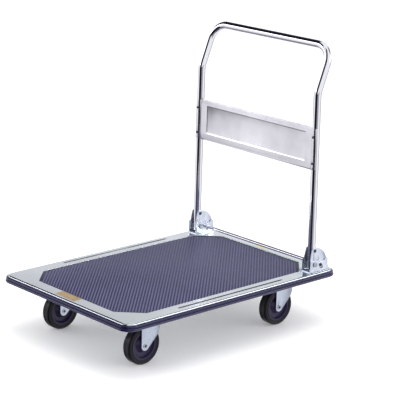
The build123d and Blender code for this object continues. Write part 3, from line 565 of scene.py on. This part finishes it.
def make_handle_tube():
    """One polished tube, bent at the shoulders and the top corners, with open feet."""
    low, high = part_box("handle_tube")
    hinge_x, handle_y = high.x - TUBE_R, low.y + TUBE_R
    top, lean_y = high.z - TUBE_R, high.y - TUBE_R
    half = [
        Vector((hinge_x, handle_y, low.z)), Vector((hinge_x, handle_y, TAPER_FROM)),
        Vector((hinge_x - TAPER, handle_y, TAPER_TO)), Vector((hinge_x - TAPER, lean_y, top)),
    ]
    corners = half + [Vector((-p.x, p.y, p.z)) for p in reversed(half)]
    stations = [(corners[0], Vector((0, 0, 1)))]
    for i, (radius, count) in enumerate(SIDE_BENDS + SIDE_BENDS[::-1], 1):
        curve = bend(corners[i - 1], corners[i], corners[i + 1], radius * MM, count)
        stations += straight(stations[-1], curve[0]) + curve
    last = (corners[-1], Vector((0, 0, -1)))
    stations += straight(stations[-1], last) + [last]
    rings, spoke = [], Vector((0, -1, 0))
    for p, heading in stations:
        spoke = (spoke - heading * spoke.dot(heading)).normalized()
        other = heading.cross(spoke)
        rings.append([p + TUBE_R * (u * spoke + v * other) for u, v in circle(1, TUBE_SIDES)])

    def foot(ring, centre, rise):
        """A ring of the bore inside a foot, some way up from its end."""
        up = Vector((0, 0, rise))
        return [centre + up + (p - centre) * (1 - TUBE_WALL / TUBE_R) for p in ring]

    start = [foot(rings[0], corners[0], BORE_SHOWN), foot(rings[0], corners[0], 0)]
    end = [foot(rings[-1], corners[-1], 0), foot(rings[-1], corners[-1], BORE_SHOWN)]
    made = ring_skin("handle_tube_look", start + rings + end, closed_loop=False, close_ends=True)
    bush_low, bush_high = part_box("pivot_bushes")
    pivot_z, bush_r = (bush_low.z + bush_high.z) / 2, (bush_high.z - bush_low.z) / 2
    for x in (hinge_x, -hinge_x):
        drill_across(made, (x, handle_y, pivot_z), bush_r, 1.5 * TUBE_R)
    for face in made.data.polygons:
        face.use_smooth = True
    sharpen(made.data, 40)
    finish_piece(made, "handle_tube")


def make_release_bar():
    """The bar with lightly rounded ends under its caps."""
    low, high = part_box("release_bar")
    centre = ((low.x + high.x) / 2, (low.y + high.y) / 2, (low.z + high.z) / 2)
    half, r = (high.x - low.x) / 2 / MM, (high.z - low.z) / 2 / MM
    profile = [
        (-half, 0.05), (-half, r - 0.5), (-half + 0.5, r), (half - 0.5, r), (half, r - 0.5), (half, 0.05),
    ]
    finish_piece(lathe("release_bar_look", profile, centre, 48), "release_bar")
    low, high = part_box("release_bar_caps")
    bm = bmesh.new()
    cap_length, nose = 6 * MM, 2.2
    start, end = high.x - cap_length, high.x
    for sign in SIDES.values():
        rings = []
        steps = [(start, r - 0.6), (start + 0.6 * MM, r)]
        steps += [
            (end - (1 - math.sin(a)) * nose * MM, r - (1 - math.cos(a)) * nose)
            for a in (math.pi / 2 * k / 6 for k in range(7))
        ]
        for x, radius in steps:
            rings.append([
                bm.verts.new((sign * x, centre[1] + y, centre[2] + z)) for y, z in circle(radius * MM, 40)
            ])
        for a, b in zip(rings, rings[1:]):
            join_rings(bm, a, b)
        bm.faces.new(rings[0])
        bm.faces.new(rings[-1])
    caps = mesh_object("release_bar_caps_look", bm)
    sharpen(caps.data, 35)
    finish_piece(caps, "release_bar_caps")


# ------------------------------------------------------------------ bumper

def bumper_section():
    """The bumper's section as (out from the pan's face, height) in millimetres, finely stepped."""
    pan_low, pan_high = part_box("deck_pan")
    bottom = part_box("bumper")[0].z / MM + 0.26
    top = pan_high.z / MM - 5.0
    split, flange = top - 7.6, pan_low.z / MM
    waist, upper_out, lower_out, lip = 5.6, 6.9, 8.97, 9

    def lobe(start, middle, end, count):
        """Points on the arc through three points."""
        (ax, ay), (bx, by), (cx, cy) = start, middle, end
        d = 2 * (ax * (by - cy) + bx * (cy - ay) + cx * (ay - by))
        a2, b2, c2 = ax * ax + ay * ay, bx * bx + by * by, cx * cx + cy * cy
        ux = (a2 * (by - cy) + b2 * (cy - ay) + c2 * (ay - by)) / d
        uy = (a2 * (cx - bx) + b2 * (ax - cx) + c2 * (bx - ax)) / d
        r = math.hypot(ax - ux, ay - uy)
        a0, a1 = math.atan2(ay - uy, ax - ux), math.atan2(cy - uy, cx - ux)
        turns = [a0 + (a1 - a0) * k / count for k in range(count + 1)]
        return [(ux + r * math.cos(turn), uy + r * math.sin(turn)) for turn in turns]

    upper = lobe((0, top), (upper_out, (top + split) / 2 + 1), (waist, split + 0.2), 10)
    lower = lobe((waist, split - 0.2), (lower_out, (split + bottom) / 2), (waist, bottom), 14)
    inside = [
        (-3.9, bottom), (-4.2, bottom + 0.3), (-4.2, bottom + lip), (-2.0, bottom + lip),
        (-2.0, flange), (0, flange),
    ]
    return upper + lower + inside


def make_bumper():
    """The bumper's section carried round the pan, turning about each corner's centre."""
    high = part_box("deck_pan")[1]
    half_x, half_y, corner, steps = high.x, high.y, 31 * MM, 24
    section = bumper_section()
    rings = []
    for turn, (cx, cy) in enumerate((
        (half_x - corner, half_y - corner), (corner - half_x, half_y - corner),
        (corner - half_x, corner - half_y), (half_x - corner, corner - half_y),
    )):
        for k in range(steps + 1):
            angle = math.pi / 2 * (turn + k / steps)
            out = Vector((math.cos(angle), math.sin(angle), 0))
            base = Vector((cx, cy, 0)) + out * corner
            rings.append([base + out * (u * MM) + Vector((0, 0, z * MM)) for u, z in section])
    made = ring_skin("bumper_look", rings, closed_loop=True)
    sharpen(made.data, 38)
    finish_piece(made, "bumper")


# ------------------------------------------------------------------ deck

def make_mat():
    """The mat: a sheet with low round studs on a diagonal grid and a plain edge."""
    low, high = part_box("deck_mat")
    half_x, half_y, cut = high.x, high.y, 71.6 * MM
    base, crown, edge = high.z - 0.8 * MM, high.z, 0.3 * MM
    def moved(inset):
        """The eight-sided outline moved in by a distance."""
        c = cut - inset * (2 - math.sqrt(2))
        x, y = half_x - inset, half_y - inset
        return [
            (x, y - c), (x - c, y), (c - x, y), (-x, y - c), (-x, c - y), (c - x, -y), (x - c, -y), (x, c - y),
        ]

    bm = bmesh.new()
    levels = [
        [(*p, low.z) for p in moved(0)], [(*p, base - edge) for p in moved(0)],
        [(*p, base) for p in moved(edge)],
    ]
    rings = [[bm.verts.new(p) for p in level] for level in levels]
    for a, b in zip(rings, rings[1:]):
        join_rings(bm, a, b)
    bm.faces.new(rings[0])
    bm.faces.new(rings[-1])
    pitch, stud, sides = 9.4 * MM, 3.1 * MM, 10
    step = pitch / math.sqrt(2)
    margin = 6 * MM
    count_x, count_y = int(half_x / step) + 1, int(half_y / step) + 1
    for i in range(-count_x, count_x + 1):
        for j in range(-count_y, count_y + 1):
            if (i + j) % 2:
                continue
            x, y = i * step, j * step
            if abs(x) > half_x - margin or abs(y) > half_y - margin:
                continue
            if abs(x) + abs(y) > half_x + half_y - cut - margin * 1.5:
                continue
            rings = []
            for radius, z in ((stud, base - 0.05 * MM), (stud * 0.86, base + 0.5 * MM), (stud * 0.5, crown)):
                rings.append([bm.verts.new((x + u, y + v, z)) for u, v in circle(radius, sides)])
            for a, b in zip(rings, rings[1:]):
                join_rings(bm, a, b)
            bm.faces.new(rings[-1])
            bm.faces.new(rings[0])
    made = mesh_object("deck_mat_look", bm)
    sharpen(made.data, 50)
    finish_piece(made, "deck_mat")


# ------------------------------------------------------------------ wheels

def make_wheel(place):
    """Tyre with a moulding line and rounded shoulders, dished core with a stepped rim, both turned."""
    low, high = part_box(f"tyre_{place}")
    centre = tuple((low + high) / 2)
    half, outer = (high.x - low.x) / 2 / MM, (high.z - low.z) / 2 / MM
    rim, shoulder = 47.0, 6.0

    def side(sign):
        arc = [
            (sign * (half - shoulder * (1 - math.sin(a))), outer - shoulder * (1 - math.cos(a)))
            for a in (math.pi / 2 * k / 8 for k in range(9))
        ]
        wall = [
            (sign * half, rim + 7.4), (sign * (half - 0.5), rim + 6.8), (sign * (half - 0.9), rim + 6.0),
            (sign * (half - 0.9), rim + 3.4), (sign * (half - 0.4), rim + 2.6), (sign * half, rim + 1.8),
            (sign * (half - 0.4), rim),
        ]
        return arc + wall

    tread = [(-1.4, outer - 0.02), (-0.5, outer - 0.25), (0.5, outer - 0.25), (1.4, outer - 0.02)]
    profile = side(1)[::-1] + tread[::-1] + side(-1)
    finish_piece(lathe(f"tyre_{place}_look", profile, centre, 128), f"tyre_{place}")

    low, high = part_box(f"wheel_core_{place}")
    hub = (high.x - low.x) / 2 / MM
    bush = (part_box(f"wheel_bush_{place}")[1].z - centre[2]) / MM
    face, web = 15.0, 4.5
    outline = [
        (face, rim), (face, rim - 1.0), (face, 42), (face - 5, 40),
        (web + 1.2, 38.2), (web, 36.6), (web, 25.2), (web + 1.4, 23.4),
        (face - 3, 18.2), (hub - 0.6, 17), (hub, 16.4), (hub, bush + 0.7), (hub - 0.6, bush),
    ]
    profile = outline + [(-x, r) for x, r in reversed(outline)]
    finish_piece(lathe(f"wheel_core_{place}_look", profile, centre, 96, 24.0), f"wheel_core_{place}")


# ------------------------------------------------------------------ springs

def make_spring(side):
    """A bent leaf spring with a curled end."""
    node = f"release_spring_{side}"
    low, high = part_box(node)
    thick = 1.0 * MM
    x0, x1 = low.x, high.x
    base = low.z
    foot_end, bar_y = high.y, low.y + 5 * MM
    line = [
        (foot_end, base), (bar_y + 15 * MM, base), (bar_y + 5 * MM, high.z - 3.4 * MM),
        (low.y + 3 * MM, high.z - thick), (low.y, high.z - thick - 1.6 * MM),
    ]
    line = rounded(line, [0, 4 * MM, 6 * MM, 3 * MM, 0], 6, closed=False)
    bm = bmesh.new()
    rows = []
    for i, (y, z) in enumerate(line):
        ahead = Vector(line[min(i + 1, len(line) - 1)]) - Vector(line[max(i - 1, 0)])
        normal = Vector((ahead.y, -ahead.x)).normalized()
        if normal.y < 0:
            normal = -normal
        upper = (y + normal.x * thick, z + normal.y * thick)
        rows.append([bm.verts.new((x, *p)) for x, p in ((x0, (y, z)), (x1, (y, z)), (x1, upper), (x0, upper))])
    for a, b in zip(rows, rows[1:]):
        join_rings(bm, a, b)
    bm.faces.new(rows[0])
    bm.faces.new(rows[-1])
    made = mesh_object(f"{node}_look", bm)
    sharpen(made.data, 35)
    finish_piece(made, node)
    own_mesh(made)


# ------------------------------------------------------------------ everything

make_camera()
make_world()
make_lights()
make_floor()

make_handle_tube()
make_release_bar()
make_bumper()
make_mat()
for end in ("front", "rear"):
    for side in SIDES:
        make_wheel(f"{end}_{side}")
for side in SIDES:
    make_spring(side)
    refined(f"hinge_bracket_{side}", 0.7)
    for face in ("inner", "outer"):
        refined(f"cam_plate_{side}_{face}", 0.6)
    refined(f"rigid_fork_{side}", 0.6)
    refined(f"swivel_fork_{side}", 0.5)
    refined(f"swivel_plate_{side}", 0.4)
for node in ("handle_panel", "pivot_bolts", "pivot_nuts", "caster_bolts", "caster_nuts", "bracket_nuts"):
    refined(node, 0.5)

for name, made in NODES.items():
    if not made.hide_render:
        made.data.materials.clear()
        made.data.materials.append(MATERIALS[SLOT_OF[name]])

bpy.context.scene.view_settings.view_transform = "Standard"
